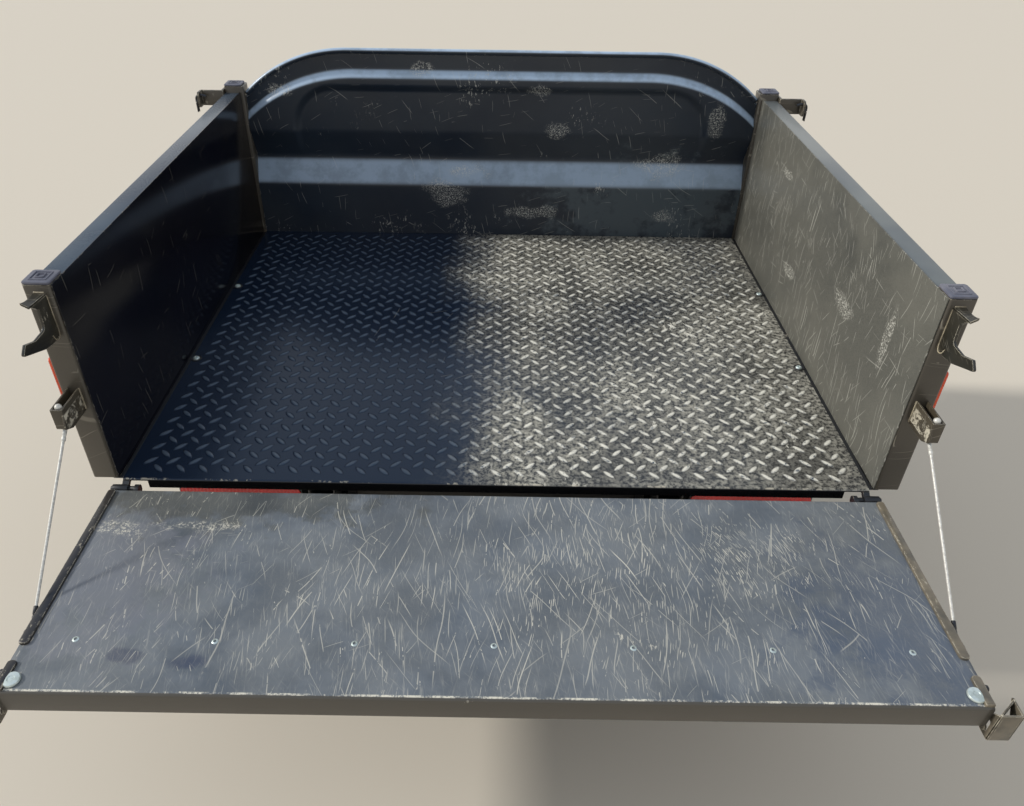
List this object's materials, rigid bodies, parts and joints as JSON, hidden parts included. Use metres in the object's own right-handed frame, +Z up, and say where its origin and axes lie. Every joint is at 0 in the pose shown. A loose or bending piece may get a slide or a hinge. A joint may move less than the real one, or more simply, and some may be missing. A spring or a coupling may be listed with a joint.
{
  "type": "utility vehicle cargo bed",
  "caption": "Tipping steel cargo bed with tread-plate floor, arched headboard, fixed sides, drop tailgate on cable stays, lift cylinder and bolt-on pivot subframe.",
  "frame": {"origin": "centre of the four chassis bolt holes, on the underside of the subframe's feet", "axes": "+X to the vehicle's right, +Y to its front, +Z up, square to the feet"},
  "size_m": [1.584, 1.559, 0.7135],
  "materials": {
    "bed_paint": "satin black paint, scratched and worn pale on the tread",
    "gate_paint": "satin black paint with long pale scratches",
    "frame_paint": "satin black paint",
    "rubber": "matt",
    "lamp_plastic": "fine grain",
    "red_lens": "clear red, ribbed inside",
    "amber_lens": "prismatic amber",
    "cap_plastic": "moulded, slightly shiny",
    "zinc_steel": "dull zinc plating",
    "chrome_rod": "ground and chromed"
  },
  "bodies": {
    "frame": {"frame_rail_left": "frame_paint", "frame_rail_right": "frame_paint", "front_crossmember": "frame_paint", "middle_crossmember": "frame_paint", "pivot_bracket_left": "frame_paint", "pivot_bracket_right": "frame_paint", "rear_crossmember": "frame_paint", "rest_pads": "rubber", "tail_lamps": "lamp_plastic", "tail_lenses": "red_lens"},
    "bed": {"corner_post_left": "bed_paint", "corner_post_right": "bed_paint", "cross_ribs": "bed_paint", "floor_plate": "bed_paint", "gate_catch_left": "bed_paint", "gate_catch_right": "bed_paint", "gate_hinges": "bed_paint", "headboard": "bed_paint", "lift_bracket": "bed_paint", "post_caps": "cap_plastic", "rear_post_left": "bed_paint", "rear_post_right": "bed_paint", "side_latches": "bed_paint", "side_reflectors": "amber_lens", "side_sill_left": "bed_paint", "side_sill_right": "bed_paint", "side_top_rail_left": "bed_paint", "side_top_rail_right": "bed_paint", "side_wall_left": "bed_paint", "side_wall_right": "bed_paint", "stay_bracket_left": "bed_paint", "stay_bracket_right": "bed_paint", "stay_left": "zinc_steel", "stay_right": "zinc_steel", "under_rail_left": "bed_paint", "under_rail_right": "bed_paint"},
    "tailgate": {"gate_bottom_rail": "gate_paint", "gate_inner_skin": "gate_paint", "gate_outer_skin": "gate_paint", "gate_side_channel_left": "gate_paint", "gate_side_channel_right": "gate_paint", "gate_stud_left": "zinc_steel", "gate_stud_right": "zinc_steel", "gate_top_rail": "gate_paint", "latch_bolt_left": "zinc_steel", "latch_bolt_right": "zinc_steel", "latch_lever_left": "gate_paint", "latch_lever_right": "gate_paint"},
    "cylinder": {"lift_barrel": "bed_paint"},
    "rod": {"lift_rod": "chrome_rod"}
  },
  "joints": [
    {"name": "bed_tilt", "type": "hinge", "parent": "frame", "child": "bed", "pos_m": [0, -0.39, 0.088], "axis": [1, 0, 0], "range_deg": [0, 45]},
    {"name": "tailgate_hinge", "type": "hinge", "parent": "bed", "child": "tailgate", "pos_m": [0, -0.491, 0.204], "axis": [-1, 0, 0], "range_deg": [0, 90.3], "deforming": ["stay_left", "stay_right"]},
    {"name": "lift_swing", "type": "hinge", "parent": "frame", "child": "cylinder", "pos_m": [0, -0.23, 0.024], "axis": [1, 0, 0], "range_deg": [0, 51.74]},
    {"name": "lift_extend", "type": "slide", "parent": "cylinder", "child": "rod", "axis": [0, 0.8961, 0.444], "range_m": [0, 0.12704]}
  ],
  "couplings": [
    {"joint": "lift_swing", "follows": "bed_tilt", "ratio": 1.1496},
    {"joint": "lift_extend", "follows": "bed_tilt", "m_per_rad": 0.16172}
  ]
}
